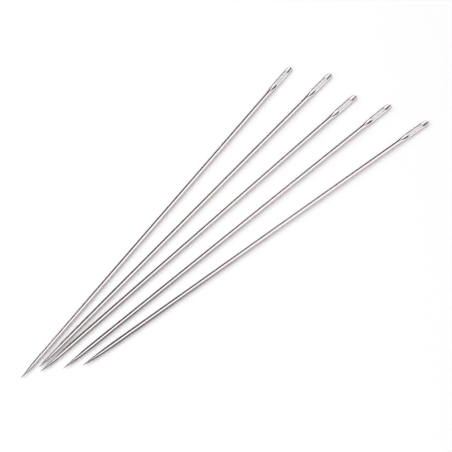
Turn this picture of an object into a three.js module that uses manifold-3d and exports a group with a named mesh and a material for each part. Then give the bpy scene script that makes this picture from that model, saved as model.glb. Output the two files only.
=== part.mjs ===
// Five long bookbinding needles, fanned out flat on a table with their points close together.
// Millimetres, +Z up. X runs along the middle needle from its point to its head, the table is at
// Z = 0, and the origin is on the table below the middle of the set.
//
// Each needle is one piece of steel wire. One end is ground to a point. The other is pressed wide
// and flat, guttered on both faces and punched through, so the thread lies sunk in the gutters.
// In a needle's own frame X runs from the point to the head, Y across the eye and Z through it.

import * as THREE from "three";
import { mergeVertices, toCreasedNormals } from "three/addons/utils/BufferGeometryUtils.js";
import Module from "manifold-3d";

// The wire
const NEEDLE_LENGTH = 127;
const SHAFT_DIAMETER = 1.22;

// The point, ground to a long taper with full sides
const POINT_LENGTH = 16;
const POINT_FULLNESS = 3.2; // 1 is a straight cone, more swells sooner behind the tip
const TIP_DIAMETER = 0.06;

// The eye, a long oval hole, with its cheeks of steel on both sides
const EYE_LENGTH = 5.8;
const EYE_WIDTH = 0.92;
const EYE_TO_END = 2.3;
const CHEEK_WIDTH = 0.36;

// The head, pressed out of the wire
const HEAD_CROWN = 0.86; // what its rounded section would measure through the middle
const HEAD_THICKNESS = 0.62; // between the narrow flat lands on the two faces of the cheeks
const HEAD_SQUARENESS = 2.1; // 2 is a round section, more is squarer
const FLARE_LENGTH = 4.6; // from the round wire to the full head
const NOSE_LENGTH = 2.1; // over which the sides round in to the end
const END_ROUNDING = 0.8; // over which the faces round in to the end

// The gutters, pressed into both faces
const GUTTER_LEAD = 3.6; // from the gutter's leaf-shaped tip to the eye
const GUTTER_SHOULDER = 0.01; // wider than the eye by this on each side
const GUTTER_BELL = 0.1; // and wider again by this ahead of the eye and behind it
const BELL_LENGTH = 0.9; // over which it widens by the bell ahead of the eye
const WEB_THICKNESS = 0.3; // the steel left between the two gutters

// How each needle lies: where its point is, its heading from the X axis, and how far it is
// rolled about itself, in millimetres and degrees
const NEEDLES = [
  { pointX: -5.12, pointY: 2.32, heading: 8.44, roll: 15 },
  { pointX: 0.63, pointY: 1.25, heading: 4.26, roll: 15 },
  { pointX: 0, pointY: 0, heading: 0, roll: 15 },
  { pointX: 4.97, pointY: -3.69, heading: -2.63, roll: 10 },
  { pointX: 9.34, pointY: -6.81, heading: -6.59, roll: 10 },
];

// The steel, nickel plated and polished
const STEEL = { color: 0xd3d1cd, roughness: 0.2, metalness: 1 };

// How finely the round forms are faceted
const NEEDLE_SIDES = 24;
const POINT_STEPS = 8;
const SHAFT_STEPS = 4;
const FLARE_STEPS = 6;
const EYE_STEPS = 3;
const NOSE_STEPS = 7;
const GUTTER_SIDES = 16;
const GUTTER_STEPS = 6;
const ARC_STEPS = 7;

// What follows from those sizes
const SHAFT_RADIUS = SHAFT_DIAMETER / 2;
const HEAD_WIDTH = EYE_WIDTH + 2 * CHEEK_WIDTH;
const EYE_END = NEEDLE_LENGTH - EYE_TO_END;
const EYE_START = EYE_END - EYE_LENGTH;
const FLARE_START = EYE_START - FLARE_LENGTH;
const GUTTER_START = EYE_START - GUTTER_LEAD;
const NOSE_START = NEEDLE_LENGTH - NOSE_LENGTH;
const CUT_MARGIN = 1; // how far a cutter runs on past the steel
const CREASE_ANGLE = THREE.MathUtils.degToRad(32);

const wasm = await Module();
wasm.setup();

const { lerp, smoothstep, degToRad } = THREE.MathUtils;

// The values from first to last in equal steps, both ends included
function steps(first, last, count) {
  return Array.from({ length: count + 1 }, (_, i) => lerp(first, last, i / count));
}

// A quarter ellipse: 1 up to the start, falling to 0 over the length
function roundIn(x, start, length) {
  const u = THREE.MathUtils.clamp((x - start) / length, 0, 1);
  return Math.sqrt(1 - u * u);
}

// The needle's section at x, before anything is cut from it: a superellipse of these half sizes
// and squareness, with its top and bottom pressed flat
function needleSection(x) {
  if (x < POINT_LENGTH) {
    const swell = 1 - (1 - x / POINT_LENGTH) ** POINT_FULLNESS;
    const radius = lerp(TIP_DIAMETER / 2, SHAFT_RADIUS, swell);
    return { x, z: 0, halfWidth: radius, halfHeight: radius, flat: radius, squareness: 2 };
  }
  const spread = smoothstep(x, FLARE_START, EYE_START);
  const nose = roundIn(x, NOSE_START, NOSE_LENGTH);
  const end = roundIn(x, NEEDLE_LENGTH - END_ROUNDING, END_ROUNDING);
  return {
    x,
    z: 0,
    halfWidth: lerp(SHAFT_RADIUS, HEAD_WIDTH / 2, spread) * nose,
    halfHeight: lerp(SHAFT_RADIUS, HEAD_CROWN / 2, spread) * end,
    flat: lerp(SHAFT_RADIUS, HEAD_THICKNESS / 2, spread) * end,
    squareness: lerp(2, HEAD_SQUARENESS, spread),
  };
}

// How much wider than the shoulder a gutter is at x: not at all beside the eye, by all of the
// bell before the eye and past it
function bell(x) {
  const reached = smoothstep(x, EYE_START - BELL_LENGTH, EYE_START + BELL_LENGTH / 3);
  const passed = smoothstep(x, EYE_END - BELL_LENGTH / 2, EYE_END + BELL_LENGTH / 4);
  return GUTTER_BELL * (1 - reached * (1 - passed));
}

// A gutter's section at x, centred on the face that it is pressed into: face is 1 or -1
function gutterSection(x, face) {
  const { flat } = needleSection(Math.min(x, NEEDLE_LENGTH));
  const lead = THREE.MathUtils.clamp((x - GUTTER_START) / GUTTER_LEAD, 0, 1);
  const leaf = Math.sin((lead * Math.PI) / 2);
  const nose = roundIn(x, NOSE_START, NOSE_LENGTH);
  const end = roundIn(x, NEEDLE_LENGTH - END_ROUNDING, END_ROUNDING);
  const halfHeight = (flat - (WEB_THICKNESS / 2) * end) * leaf;
  return {
    x,
    z: face * flat,
    halfWidth: (EYE_WIDTH / 2 + GUTTER_SHOULDER + bell(x)) * leaf * nose,
    halfHeight,
    flat: halfHeight,
    squareness: 2,
  };
}

// A closed solid through sections along X, with a flat fan over each end
function loft(sections, sides) {
  const points = [];
  const power = (value, exponent) => Math.sign(value) * Math.abs(value) ** exponent;
  for (const s of sections) {
    for (let side = 0; side < sides; side++) {
      const angle = ((side + 0.5) / sides) * 2 * Math.PI;
      const height = s.halfHeight * power(Math.sin(angle), 2 / s.squareness);
      points.push(
        s.x,
        s.halfWidth * power(Math.cos(angle), 2 / s.squareness),
        s.z + THREE.MathUtils.clamp(height, -s.flat, s.flat),
      );
    }
  }
  const first = sections[0];
  const last = sections[sections.length - 1];
  const firstCentre = points.length / 3;
  points.push(first.x, 0, first.z, last.x, 0, last.z);

  const faces = [];
  const lastRing = (sections.length - 1) * sides;
  for (let side = 0; side < sides; side++) {
    const next = (side + 1) % sides;
    for (let ring = 0; ring < lastRing; ring += sides) {
      faces.push(ring + side, ring + next, ring + sides + next);
      faces.push(ring + side, ring + sides + next, ring + sides + side);
    }
    faces.push(firstCentre, next, side);
    faces.push(firstCentre + 1, lastRing + side, lastRing + next);
  }
  const geometry = new THREE.BufferGeometry();
  geometry.setAttribute("position", new THREE.Float32BufferAttribute(points, 3));
  geometry.setIndex(faces);
  return geometry;
}

// The blank: the wire with its point ground and its head pressed, not yet guttered or punched
function blank() {
  const lastStep = 0.985; // the last section stands just short of the end, which is a small flat
  const stations = [
    ...steps(0, POINT_LENGTH, POINT_STEPS).map((x) => x * (x / POINT_LENGTH) ** 0.6),
    ...steps(POINT_LENGTH, FLARE_START, SHAFT_STEPS).slice(1),
    ...steps(FLARE_START, EYE_START, FLARE_STEPS).slice(1),
    ...steps(EYE_START, NOSE_START, EYE_STEPS).slice(1),
    ...steps(0, Math.PI / 2, NOSE_STEPS)
      .slice(1)
      .map((turn) => NOSE_START + NOSE_LENGTH * Math.sin(turn * lastStep)),
  ];
  return loft(stations.map(needleSection), NEEDLE_SIDES);
}

// The tool that presses one gutter
function gutterCutter(face) {
  const stations = [
    ...steps(0.02, 1 - BELL_LENGTH / GUTTER_LEAD, GUTTER_STEPS).map(
      (u) => GUTTER_START + GUTTER_LEAD * u,
    ),
    ...[-0.6, -0.2, 0.1, 0.33].map((u) => EYE_START + BELL_LENGTH * u),
    ...[-0.5, -0.25, 0, 0.25].map((u) => EYE_END + BELL_LENGTH * u),
    NOSE_START,
    ...steps(0, Math.PI / 2, NOSE_STEPS)
      .slice(1, -1)
      .map((turn) => NOSE_START + NOSE_LENGTH * Math.sin(turn)),
  ];
  return loft(stations.map((x) => gutterSection(x, face)), GUTTER_SIDES);
}

// The punch for the eye: a long oval with half-round ends, right through the head
function eyePunch() {
  const radius = EYE_WIDTH / 2;
  const outline = new THREE.Shape();
  outline.absarc(EYE_END - radius, 0, radius, -Math.PI / 2, Math.PI / 2);
  outline.absarc(EYE_START + radius, 0, radius, Math.PI / 2, (3 * Math.PI) / 2);
  const depth = SHAFT_DIAMETER + 2 * CUT_MARGIN;
  const punch = new THREE.ExtrudeGeometry(outline, {
    depth,
    curveSegments: ARC_STEPS,
    bevelEnabled: false,
  });
  return punch.translate(0, 0, -depth / 2);
}

// A closed three.js geometry as a solid that can be cut
function solid(geometry) {
  const bare = geometry.clone();
  bare.deleteAttribute("normal");
  bare.deleteAttribute("uv");
  const merged = mergeVertices(bare, 1e-5);
  return new wasm.Manifold(
    new wasm.Mesh({
      numProp: 3,
      vertProperties: new Float32Array(merged.attributes.position.array),
      triVerts: new Uint32Array(merged.index.array),
    }),
  );
}

// A cut solid back as a three.js geometry, smooth but for its real edges
function geometryOf(cut) {
  const { vertProperties, triVerts } = cut.getMesh();
  const geometry = new THREE.BufferGeometry();
  geometry.setAttribute("position", new THREE.BufferAttribute(vertProperties, 3));
  geometry.setIndex(new THREE.BufferAttribute(triVerts, 1));
  return toCreasedNormals(geometry, CREASE_ANGLE);
}

function needleGeometry() {
  let needle = solid(blank());
  for (const tool of [gutterCutter(1), gutterCutter(-1), eyePunch()]) {
    needle = needle.subtract(solid(tool));
  }
  return geometryOf(needle);
}

// Lays a needle on the table. A rolled head can reach lower than the shaft does, and then the
// needle tips up a little and rests on the head and on the foot of its point.
function layDown(mesh) {
  const position = mesh.geometry.attributes.position;
  const roll = mesh.rotation.x;
  let shaftLow = 0;
  let head = { low: 0, x: NEEDLE_LENGTH };
  for (let i = 0; i < position.count; i++) {
    const x = position.getX(i);
    const height = position.getY(i) * Math.sin(roll) + position.getZ(i) * Math.cos(roll);
    if (x <= FLARE_START) shaftLow = Math.min(shaftLow, height);
    else if (height < head.low) head = { low: height, x };
  }
  const tilt = Math.max(0, shaftLow - head.low) / (head.x - POINT_LENGTH);
  mesh.rotation.y = -Math.asin(tilt);
  mesh.position.z = -shaftLow - tilt * POINT_LENGTH;
}

const set = new THREE.Group();
const geometry = needleGeometry();
NEEDLES.forEach(({ pointX, pointY, heading, roll }, i) => {
  const needle = new THREE.Mesh(geometry, new THREE.MeshStandardMaterial(STEEL));
  needle.name = `needle_${i + 1}`;
  needle.position.set(pointX, pointY, 0);
  needle.rotation.set(degToRad(roll), 0, degToRad(heading), "ZYX");
  layDown(needle);
  set.add(needle);
});

const extent = new THREE.Box3().setFromObject(set, true);
const middle = extent.getCenter(new THREE.Vector3());
set.position.set(-middle.x, -middle.y, -extent.min.z);

export default set;
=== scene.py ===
# Five long bookbinding needles of nickel plated steel, fanned out flat on a white table with
# their points close together. Metres, +Z up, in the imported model's frame: X runs along the
# middle needle from its point to its head, and the table is at Z = 0.
#
# Each needle is drawn once in millimetres in its own frame, X from the point to the head, Y
# across the eye and Z through it, and then laid where its CAD solid lies.

from math import asin, atan2, cos, pi, radians, sin

import bmesh
import bpy
import numpy as np
from mathutils import Matrix, Vector


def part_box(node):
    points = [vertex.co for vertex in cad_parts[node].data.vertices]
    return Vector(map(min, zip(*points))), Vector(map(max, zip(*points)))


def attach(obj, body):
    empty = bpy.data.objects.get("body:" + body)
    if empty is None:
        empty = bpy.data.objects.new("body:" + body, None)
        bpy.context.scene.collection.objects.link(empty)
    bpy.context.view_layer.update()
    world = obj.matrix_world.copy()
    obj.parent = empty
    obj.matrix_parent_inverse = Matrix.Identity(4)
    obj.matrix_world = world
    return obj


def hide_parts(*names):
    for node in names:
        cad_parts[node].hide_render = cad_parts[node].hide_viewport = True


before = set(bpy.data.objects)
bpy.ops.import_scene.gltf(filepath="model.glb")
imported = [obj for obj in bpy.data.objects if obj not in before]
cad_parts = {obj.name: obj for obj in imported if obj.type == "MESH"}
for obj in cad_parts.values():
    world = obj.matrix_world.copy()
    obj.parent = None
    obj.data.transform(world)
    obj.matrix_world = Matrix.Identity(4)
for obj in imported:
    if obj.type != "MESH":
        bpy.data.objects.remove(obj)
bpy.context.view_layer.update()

MM = 0.001

# The sizes, as in the CAD source

NEEDLE_LENGTH = 127.0
SHAFT_RADIUS = 0.61
POINT_LENGTH = 16.0
POINT_FULLNESS = 3.2
TIP_RADIUS = 0.03

EYE_LENGTH = 5.8
EYE_RADIUS = 0.46                        # half the eye's width, and the radius of its round ends
EYE_TO_END = 2.3
EYE_END = NEEDLE_LENGTH - EYE_TO_END
EYE_START = EYE_END - EYE_LENGTH

CHEEK_WIDTH = 0.36
HEAD_HALF_WIDTH = EYE_RADIUS + CHEEK_WIDTH
HEAD_HALF_CROWN = 0.43
HEAD_HALF_THICKNESS = 0.31
HEAD_SQUARENESS = 2.1
FLARE_LENGTH = 4.6
FLARE_START = EYE_START - FLARE_LENGTH
NOSE_LENGTH = 2.1
NOSE_START = NEEDLE_LENGTH - NOSE_LENGTH
END_ROUNDING = 0.8

GUTTER_LEAD = 3.6
GUTTER_START = EYE_START - GUTTER_LEAD
GUTTER_SHOULDER = 0.01
GUTTER_BELL = 0.1
BELL_LENGTH = 0.9
WEB_HALF_THICKNESS = 0.15

# Not in the CAD source: how far the last polish rounds the pressed and punched edges
LAND_SOFTNESS = 0.1                      # between the rounded side and the flat land
LAND_FULLY_SOFT = 0.05                   # in full once the crown is this far above the land
LIP_SOFTNESS = 0.07                      # between the land and the gutter
LIP_FULLY_SOFT = 0.2                     # in full once the gutter is this deep
GUTTER_BANK = 2.5                        # how steeply the gutter's side runs on up past its lip
EYE_EDGE_RADIUS = 0.05                   # round the eye, where the gutter is deep enough for it
EYE_EDGE_DEPTH = 0.1

# Small limits, so that nothing is divided by 0
NEAR_ZERO = 1e-9
NEGLIGIBLE = 1e-6                        # a step or depth too small to be drawn
LEAST_SOFT = 1e-3                        # the least share of a softness

# How each needle lies, in degrees: its heading from X, and its roll about itself
HEADINGS = {"needle_1": 8.44, "needle_2": 4.26, "needle_3": 0.0, "needle_4": -2.63, "needle_5": -6.59}
ROLLS = {"needle_1": 15, "needle_2": 15, "needle_3": 15, "needle_4": 10, "needle_5": 10}

# How strongly each needle's lower flank toward the point is painted dark, a painted dark reflection,
# from none to 1
PAINTED_DARK_REFLECTION = {"needle_1": 0.1, "needle_2": 0.22, "needle_3": 0.75, "needle_4": 0.9, "needle_5": 1.0}
PAINTED_REFLECTION_LENGTH = 80.0                       # from the point
PAINTED_REFLECTION_THIN, PAINTED_REFLECTION_FULL = 122, 146          # degrees round from the +Y side
TIP_PAINTED_REFLECTION = 0.9                           # on all five, at the very tip
TIP_PAINTED_REFLECTION_LENGTH = 8.0
TIP_PAINTED_REFLECTION_EXTRA = 40                      # degrees that it reaches further round there


# The needle's form

def lerp(a, b, t):
    return a + (b - a) * t


def smoothstep(x, low, high):
    t = np.clip((x - low) / (high - low), 0, 1)
    return t * t * (3 - 2 * t)


def round_in(x, start, length):
    """A quarter ellipse: 1 up to the start, falling to 0 over the length."""
    u = np.clip((x - start) / length, 0, 1)
    return np.sqrt(1 - u * u)


def soft_min(a, b, softness):
    """The lower of two heights, with the corner between them rounded."""
    gap = np.clip(softness - np.abs(a - b), 0, None)
    return np.minimum(a, b) - gap * gap / (4 * softness)


def section(x):
    """Half width, half height, flat height and squareness of the needle's outside at x."""
    swell = 1 - (1 - np.clip(x / POINT_LENGTH, 0, 1)) ** POINT_FULLNESS
    tip = round_in(TIP_RADIUS - x, 0, TIP_RADIUS)      # the very tip is a small ball
    wire = lerp(TIP_RADIUS, SHAFT_RADIUS, swell) * tip
    spread = smoothstep(x, FLARE_START, EYE_START)
    end = round_in(x, NEEDLE_LENGTH - END_ROUNDING, END_ROUNDING)
    half_width = lerp(wire, HEAD_HALF_WIDTH, spread) * round_in(x, NOSE_START, NOSE_LENGTH)
    half_height = lerp(wire, HEAD_HALF_CROWN, spread) * end
    flat = lerp(wire, HEAD_HALF_THICKNESS, spread) * end
    return half_width, half_height, flat, lerp(2, HEAD_SQUARENESS, spread)


def gutter(x):
    """Half width and depth of the gutter in each face at x."""
    leaf = np.sin(np.clip((x - GUTTER_START) / GUTTER_LEAD, 0, 1) * pi / 2)
    reached = smoothstep(x, EYE_START - BELL_LENGTH, EYE_START + BELL_LENGTH / 3)
    passed = smoothstep(x, EYE_END - BELL_LENGTH / 2, EYE_END + BELL_LENGTH / 4)
    half_width = EYE_RADIUS + GUTTER_SHOULDER + GUTTER_BELL * (1 - reached * (1 - passed))
    end = round_in(x, NEEDLE_LENGTH - END_ROUNDING, END_ROUNDING)
    depth = (section(x)[2] - WEB_HALF_THICKNESS * end) * leaf
    return half_width * leaf * round_in(x, NOSE_START, NOSE_LENGTH), depth


def eye_half_width(x):
    """Half width of the eye at x, 0 where there is none."""
    past_start = np.clip(EYE_START + EYE_RADIUS - x, 0, EYE_RADIUS)
    past_end = np.clip(x - EYE_END + EYE_RADIUS, 0, EYE_RADIUS)
    past = np.maximum(past_start, past_end)
    return np.sqrt(EYE_RADIUS ** 2 - past ** 2)


def eye_distance(x, y):
    """How far a place on the head is from the eye's edge."""
    nearest = np.clip(x, EYE_START + EYE_RADIUS, EYE_END - EYE_RADIUS)
    return np.hypot(x - nearest, y) - EYE_RADIUS


def top(x, y):
    """The height of the needle's upper surface, above the middle of the needle."""
    half_width, half_height, flat, squareness = section(x)
    across = np.clip(y / np.maximum(half_width, NEAR_ZERO), 0, 1)
    side = half_height * np.clip(1 - across ** squareness, 0, 1) ** (1 / squareness)
    land_soft = LAND_SOFTNESS * np.clip((half_height - flat) / LAND_FULLY_SOFT, LEAST_SOFT, 1)
    pressed = np.where(flat < half_height - NEGLIGIBLE, soft_min(side, flat, land_soft), side)

    half_gap, depth = gutter(x)
    u = y / np.maximum(half_gap, NEAR_ZERO)
    hollow = depth * np.sqrt(np.clip(1 - u * u, 0, 1))
    floor = flat - hollow + GUTTER_BANK * np.clip(y - half_gap, 0, None)
    lip_soft = LIP_SOFTNESS * np.clip(depth / LIP_FULLY_SOFT, LEAST_SOFT, 1)
    height = np.where(depth > NEGLIGIBLE, soft_min(pressed, floor, lip_soft), pressed)

    edge = np.clip(EYE_EDGE_RADIUS - eye_distance(x, y), 0, EYE_EDGE_RADIUS)
    drop = EYE_EDGE_RADIUS - np.sqrt(EYE_EDGE_RADIUS ** 2 - edge ** 2)
    height = height - drop * (depth > EYE_EDGE_DEPTH)
    return np.where(across >= 1, 0, np.maximum(height, 0))


def stations():
    """Places along the needle, closer together where its form changes faster."""
    turn = np.linspace(0, pi / 2, 9)
    inward = EYE_RADIUS * (1 - np.cos(turn))           # along a round end of the eye
    beside = np.array([0.02, 0.05, 0.1, 0.18, 0.3])    # just outside the eye
    parts = [
        TIP_RADIUS * (1 - np.cos(np.linspace(0, pi / 2, 6))),
        POINT_LENGTH * np.linspace(0.06, 1, 26) ** 2,
        np.linspace(POINT_LENGTH, FLARE_START, 34),
        np.linspace(FLARE_START, GUTTER_START, 8),
        GUTTER_START + (EYE_START - beside[-1] - GUTTER_START) * np.linspace(0, 1, 26) ** 1.5,
        EYE_START - beside,
        EYE_START + inward,
        np.linspace(EYE_START + EYE_RADIUS, EYE_END - EYE_RADIUS, 20),
        EYE_END - inward,
        EYE_END + beside,
        NOSE_START + NOSE_LENGTH * np.sin(np.linspace(0.3, pi / 2, 22)),
    ]
    return np.unique(np.round(np.concatenate(parts), 6))


def quarter():
    """A quarter of the needle, Y and Z from 0 up: its points in a grid, and the eye's wall."""
    x = stations()[:, None]
    half_width, _, _, squareness = section(x)
    half_gap, _ = gutter(x)
    lip = np.maximum(half_gap, 0.05 * half_width)      # a narrow strip where there is no gutter
    inner = eye_half_width(x) * ((x > EYE_START) & (x < EYE_END))

    lip_share = np.clip(lip / np.maximum(half_width, NEAR_ZERO), 0, 1)
    lip_turn = np.arccos(lip_share ** (squareness / 2))
    outward = (1 - np.cos(pi * np.linspace(0, 1, 19)[None, :])) / 2
    outer_y = half_width * np.cos(lip_turn * outward) ** (2 / squareness)
    outer_y[:, -1:] = lip
    inward = (1 - np.cos(pi * np.linspace(0, 1, 13)[None, 1:])) / 2
    inner_y = lip + (inner - lip) * inward
    y = np.concatenate([outer_y, inner_y], axis=1)
    z = top(np.broadcast_to(x, y.shape), y)
    z[:, 0] = 0
    sheet = np.stack([np.broadcast_to(x, y.shape), y, z], axis=-1)

    pierced = ((x >= EYE_START) & (x <= EYE_END))[:, 0]
    brow = sheet[pierced][:, None, -1]
    drop = np.linspace(1, 0, 5)[None, :, None]
    wall = brow * np.array([1, 1, 0]) + brow * np.array([0, 0, 1]) * drop
    return sheet, wall


def needle_mesh():
    """The whole needle as one closed, smooth mesh, in metres. Its texture map has the way along
    the needle as u and the way round it as v, both in metres."""
    mesh = bmesh.new()
    for patch in quarter():
        for side in (1, -1):
            for face in (1, -1):
                points = patch * np.array([1, side, face]) * MM
                grid = [[mesh.verts.new(p) for p in row] for row in points]
                for low, high in zip(grid, grid[1:]):
                    for a, b, c, d in zip(low, low[1:], high[1:], high):
                        mesh.faces.new((a, b, c, d) if side * face > 0 else (d, c, b, a))
    bmesh.ops.remove_doubles(mesh, verts=mesh.verts, dist=0.0001 * MM)
    bmesh.ops.recalc_face_normals(mesh, faces=mesh.faces)
    layer = mesh.loops.layers.uv.new("along_and_round")
    for face in mesh.faces:
        upper = 1 if face.calc_center_median().z > 0 else -1
        for loop in face.loops:
            x, y, z = loop.vert.co
            loop[layer].uv = x, upper * atan2(abs(z), y) * SHAFT_RADIUS * MM
    data = bpy.data.meshes.new("needle")
    mesh.to_mesh(data)
    mesh.free()
    data.shade_smooth()
    return data


def lay_down(data, roll):
    """How a rolled needle tips: its head can reach lower than its shaft, and then it rests on
    the head and on the foot of its point."""
    points = np.array([v.co for v in data.vertices]) / MM
    height = points[:, 1] * sin(roll) + points[:, 2] * cos(roll)
    shaft = points[:, 0] <= FLARE_START
    low = height[shaft].min()
    head = points[:, 0][~shaft], height[~shaft]
    lowest = head[1].argmin()
    return asin(max(0, low - head[1][lowest]) / (head[0][lowest] - POINT_LENGTH))


def place_needle(name, shape):
    """Makes a needle of that shape and lays it where its CAD solid lies."""
    data = shape.copy()
    needle = bpy.data.objects.new(name + "_polished", data)
    bpy.context.collection.objects.link(needle)
    roll = radians(ROLLS[name])
    data.transform(Matrix.Rotation(radians(HEADINGS[name]), 4, "Z")
                   @ Matrix.Rotation(-lay_down(shape, roll), 4, "Y") @ Matrix.Rotation(roll, 4, "X"))
    reach = np.array([v.co for v in data.vertices])
    low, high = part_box(name)
    middle = (reach.min(axis=0) + reach.max(axis=0)) / 2
    data.transform(Matrix.Translation(((low[0] + high[0]) / 2 - middle[0],
                                       (low[1] + high[1]) / 2 - middle[1],
                                       low[2] - reach[:, 2].min())))
    # how strongly this needle's lower flank is painted dark, a painted dark reflection
    needle["painted_reflection"] = PAINTED_DARK_REFLECTION[name]
    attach(needle, "root")
    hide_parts(name)


# Materials

def linear(hex_colour):
    """An sRGB hex colour as linear values, with alpha."""
    channels = [int(hex_colour[i:i + 2], 16) / 255 for i in (1, 3, 5)]
    return [c / 12.92 if c <= 0.04045 else ((c + 0.055) / 1.055) ** 2.4 for c in channels] + [1.0]


def add(tree, kind, settings={}, links={}, values={}):
    """Adds a node: its settings, its sockets' links from other nodes, and their values."""
    node = tree.nodes.new("ShaderNode" + kind)
    for name, value in settings.items():
        setattr(node, name, value)
    for socket, value in values.items():
        node.inputs[socket].default_value = value
    for socket, source in links.items():
        tree.links.new(source, node.inputs[socket])
    return node


def new_material(name):
    material = bpy.data.materials.new(name)
    material.use_nodes = True
    material.node_tree.nodes.clear()
    return material, material.node_tree


def painted_dark_reflection(tree, place):
    """How strongly the flank that faces -Y is painted dark: a painted dark reflection. It gives the
    lower needles a second dark line below their highlight, which fades in toward the point. At the
    tip it reaches further round and is equally strong on all five: that gives them painted dark tips."""
    per_degree = radians(1) * SHAFT_RADIUS * MM
    smooth = {"interpolation_type": "SMOOTHSTEP"}
    parts = add(tree, "SeparateXYZ", {}, {0: place})
    along, around = parts.outputs["X"], parts.outputs["Y"]
    from_side = add(tree, "Math", {"operation": "ABSOLUTE"}, {0: around})
    at_tip = add(tree, "MapRange", smooth, {"Value": along},
                 {"From Min": TIP_PAINTED_REFLECTION_LENGTH * MM, "From Max": 0.0})
    reach = add(tree, "Math", {"operation": "MULTIPLY_ADD"},
                {0: at_tip.outputs[0], 2: from_side.outputs[0]}, {1: TIP_PAINTED_REFLECTION_EXTRA * per_degree})
    flank = add(tree, "MapRange", smooth, {"Value": reach.outputs[0]},
                {"From Min": PAINTED_REFLECTION_THIN * per_degree, "From Max": PAINTED_REFLECTION_FULL * per_degree})
    forward = add(tree, "MapRange", smooth, {"Value": along},
                  {"From Min": PAINTED_REFLECTION_LENGTH * MM, "From Max": POINT_LENGTH * MM})
    where = add(tree, "Math", {"operation": "MULTIPLY"}, {0: flank.outputs[0], 1: forward.outputs[0]})
    share = add(tree, "Attribute", {"attribute_type": "OBJECT", "attribute_name": "painted_reflection"})
    darkness = add(tree, "MapRange", {}, {"Value": at_tip.outputs[0], "To Min": share.outputs["Fac"]},
                    {"To Max": TIP_PAINTED_REFLECTION})
    painted_reflection = add(tree, "Math", {"operation": "MULTIPLY"}, {0: where.outputs[0], 1: darkness.outputs[0]})
    return painted_reflection.outputs[0]


def nickel_plated_steel():
    """Carbon steel wire, nickel plated and tumbled bright. It mirrors the studio softly, with
    hair-fine lines along the needle from the last polish and a painted dark reflection toward the
    point."""
    material, tree = new_material("nickel_plated_steel")
    place = add(tree, "TexCoord").outputs["UV"]
    # the polishing lines are 0.01 mm apart on such a needle, drawn 0.1 mm apart so that they show
    line_length, line_spacing = 6 * MM, 0.1 * MM
    stretched = add(tree, "Mapping", {}, {"Vector": place},
                    {"Scale": (1 / line_length, 1 / line_spacing, 1)})
    lines = add(tree, "TexNoise", {}, {"Vector": stretched.outputs[0]}, {"Scale": 1.0, "Detail": 2.0})
    shine = add(tree, "MapRange", {}, {"Value": lines.outputs["Fac"]},
                {"To Min": 0.13, "To Max": 0.22})
    bump = add(tree, "Bump", {}, {"Height": lines.outputs["Fac"]},
               {"Strength": 0.02, "Distance": 0.01 * MM})
    # the base colour turns dark where the painted dark reflection lies
    colour = add(tree, "MixRGB", {}, {"Fac": painted_dark_reflection(tree, place)},
                 {"Color1": linear("#DBD5D5"), "Color2": linear("#403A39")})
    metal = add(tree, "BsdfPrincipled", {}, {"Base Color": colour.outputs[0],
                                             "Roughness": shine.outputs[0],
                                             "Normal": bump.outputs[0]}, {"Metallic": 1.0})
    add(tree, "OutputMaterial", {}, {"Surface": metal.outputs[0]})
    return material


def seen(tree):
    """1 for what the camera sees itself or in metal or glass, and 0 for light on its way: also
    for light that metal throws on the table."""
    path = add(tree, "LightPath")
    either = add(tree, "Math", {"operation": "MAXIMUM"},
                 {0: path.outputs["Is Camera Ray"], 1: path.outputs["Is Glossy Ray"]})
    any_of = add(tree, "Math", {"operation": "MAXIMUM"},
                 {0: either.outputs[0], 1: path.outputs["Is Transmission Ray"]})
    direct = add(tree, "Math", {"operation": "LESS_THAN"}, {0: path.outputs["Diffuse Depth"]}, {1: 0.5})
    both = add(tree, "Math", {"operation": "MULTIPLY"}, {0: any_of.outputs[0], 1: direct.outputs[0]})
    return both.outputs[0]


def white_table():
    """Matt white laminate, lit until it is nearly paper white, as the table looks."""
    material, tree = new_material("white_laminate")
    plain = add(tree, "BsdfDiffuse", {}, {}, {"Color": linear("#F2F2F2")})
    bright = add(tree, "BsdfDiffuse", {}, {}, {"Color": (1.0, 1.0, 1.0, 1.0)})
    both = add(tree, "MixShader", {}, {0: seen(tree), 1: plain.outputs[0], 2: bright.outputs[0]})
    add(tree, "OutputMaterial", {}, {"Surface": both.outputs[0]})
    return material


def black_card():
    """Black card, matt: it gives the bright metal its dark edge."""
    material, tree = new_material("black_card")
    surface = add(tree, "BsdfDiffuse", {}, {}, {"Color": linear("#1B1616")})
    add(tree, "OutputMaterial", {}, {"Surface": surface.outputs[0]})
    return material


# The table, cards, lamps and camera

def stage_mesh(name, points, faces, material):
    data = bpy.data.meshes.new(name)
    data.from_pydata([Vector(p) for p in points], [], faces)
    data.materials.append(material)
    thing = bpy.data.objects.new(name, data)
    bpy.context.collection.objects.link(thing)
    return thing


def table():
    """A round table, so wide that its edge is far off from every side."""
    radius, sides = 4, 64
    turns = np.linspace(0, 2 * pi, sides, endpoint=False)
    rim = [(radius * cos(a), radius * sin(a), 0) for a in turns]
    stage_mesh("white_table", rim, [tuple(range(sides))], white_table())


def flag(name, grid):
    """A curved black card through a grid of points, out of the picture. The metal mirrors it,
    but it keeps no light off the table."""
    count = len(grid[0])
    faces = [(r * count + c, r * count + c + 1, (r + 1) * count + c + 1, (r + 1) * count + c)
             for r in range(len(grid) - 1) for c in range(count - 1)]
    card = stage_mesh(name, [p for row in grid for p in row], faces, black_card())
    card.visible_camera = False
    card.visible_shadow = False
    card.visible_diffuse = False


def far_flag(name, middle, azimuth_reach, elevation_reach, distance):
    """A card on a sphere round the needles. middle is its azimuth from X and its elevation, in
    degrees, and the reaches are to each side of that. The distance is in metres."""
    azimuths = np.radians(np.linspace(middle[0] - azimuth_reach, middle[0] + azimuth_reach, 25))
    elevations = np.radians(np.linspace(middle[1] - elevation_reach, middle[1] + elevation_reach, 17))
    flag(name, [[(distance * cos(e) * cos(a), distance * cos(e) * sin(a), distance * sin(e))
                 for a in azimuths] for e in elevations])


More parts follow.
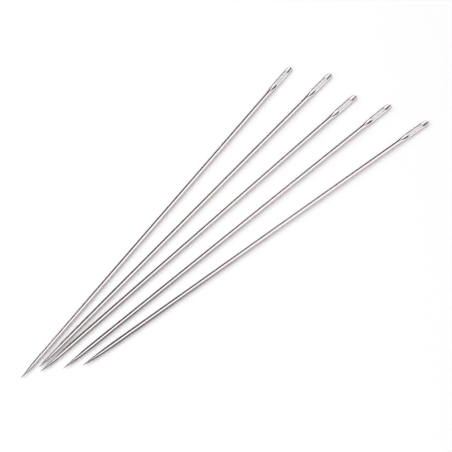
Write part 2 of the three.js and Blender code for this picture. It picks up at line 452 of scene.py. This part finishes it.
def near_flag(name, reaches, distance):
    """A card along the needles, at that distance from the X axis. Each reach is a place on X
    and the angles that the card covers there, from the +Y horizon over the top, in degrees."""
    xs, lows, highs = zip(*reaches)
    along = np.unique(np.concatenate([xs, np.linspace(xs[0], xs[-1], 41)]))
    low = np.radians(np.interp(along, xs, lows))
    high = np.radians(np.interp(along, xs, highs))
    flag(name, [[(x, distance * cos(a), distance * sin(a)) for x, a in zip(along, lerp(low, high, t))]
                for t in np.linspace(0, 1, 17)])


def cards():
    """The black cards, which give each needle its dark line on the left and its dark marks at
    the head. The near card widens that line toward the points, and the gap between the back
    and the left card thins it again on the upper needles."""
    far_flag("black_card_back", (46, 27), 38.5, 25, 1.0)
    far_flag("black_card_left", (108.5, 27), 19.5, 25, 1.0)
    far_flag("black_card_end", (20, 55), 17, 10, 1.02)
    near_flag("black_card_points",
              [(-0.6, 40, 94), (0, 40, 94), (0.09, 40, 78), (0.17, 40, 54)], 0.3)


def softbox(name, direction, size, brightness, distance=1.2):
    """A softbox that faces the needles from that direction. Its size is along X and across, in
    metres, and at brightness 1 it looks white."""
    lamp = bpy.data.lights.new(name, "AREA")
    lamp.shape = "RECTANGLE"
    lamp.size, lamp.size_y = size
    lamp.energy = brightness * pi * size[0] * size[1]
    away = Vector(direction).normalized()
    across = Vector((0, 1, 0)).cross(away).normalized()
    box = bpy.data.objects.new(name, lamp)
    box.location = away * distance
    box.rotation_euler = Matrix((across, away.cross(across), away)).transposed().to_euler()
    box.visible_camera = False
    bpy.context.collection.objects.link(box)


def lamps():
    """The low and the overhead softbox light the table, with a soft shadow on the right of each
    needle. The front one is fainter, and a small near one brightens the points."""
    softbox("softbox_low", (-0.2, 0.76, 0.62), (2.2, 0.7), 2.1)
    softbox("softbox_overhead", (-0.5, 0.05, 0.86), (1.0, 0.6), 2.3)
    softbox("softbox_front", (0.33, -0.6, 0.73), (2.2, 0.8), 0.72)
    softbox("softbox_points", (-0.25, 0.12, 0.28), (0.2, 0.12), 2.6, distance=0.4)


def studio_world():
    """White all round, at the level at which a white thing looks white. The light that it gives
    is a little lilac, as the shadows show."""
    world = bpy.data.worlds.new("studio")
    bpy.context.scene.world = world
    world.use_nodes = True
    tree = world.node_tree
    tree.nodes.clear()
    light = add(tree, "Background", {}, {}, {"Color": (1.0, 0.975, 1.0, 1.0), "Strength": 0.32})
    shown = add(tree, "Background", {}, {}, {"Color": (1, 1, 1, 1), "Strength": 1.0})
    both = add(tree, "MixShader", {}, {0: seen(tree), 1: light.outputs[0], 2: shown.outputs[0]})
    add(tree, "OutputWorld", {}, {"Surface": both.outputs[0]})


def camera():
    """Looks down on the fan from the side of the points and the lower needles."""
    target = Vector((2.786, -3.409, 0)) * MM           # the middle of the picture, on the table
    elevation, distance = radians(62), 430 * MM
    ahead = Vector((0.7061, 0.7079, 0)).normalized()   # the way the camera faces, on the table
    toward = ahead * cos(elevation) + Vector((0, 0, -sin(elevation)))
    lens = bpy.data.cameras.new("camera")
    lens.sensor_width = 36
    lens.lens = 119
    lens.clip_start, lens.clip_end = 0.01, 100
    eye = bpy.data.objects.new("camera", lens)
    eye.location = target - toward * distance
    eye.rotation_euler = toward.to_track_quat("-Z", "Y").to_euler()
    bpy.context.collection.objects.link(eye)
    bpy.context.scene.camera = eye


# All of it together

shape = needle_mesh()
shape.materials.append(nickel_plated_steel())
for name in HEADINGS:
    place_needle(name, shape)

table()
cards()
lamps()
studio_world()
camera()
bpy.context.scene.view_settings.view_transform = "Standard"
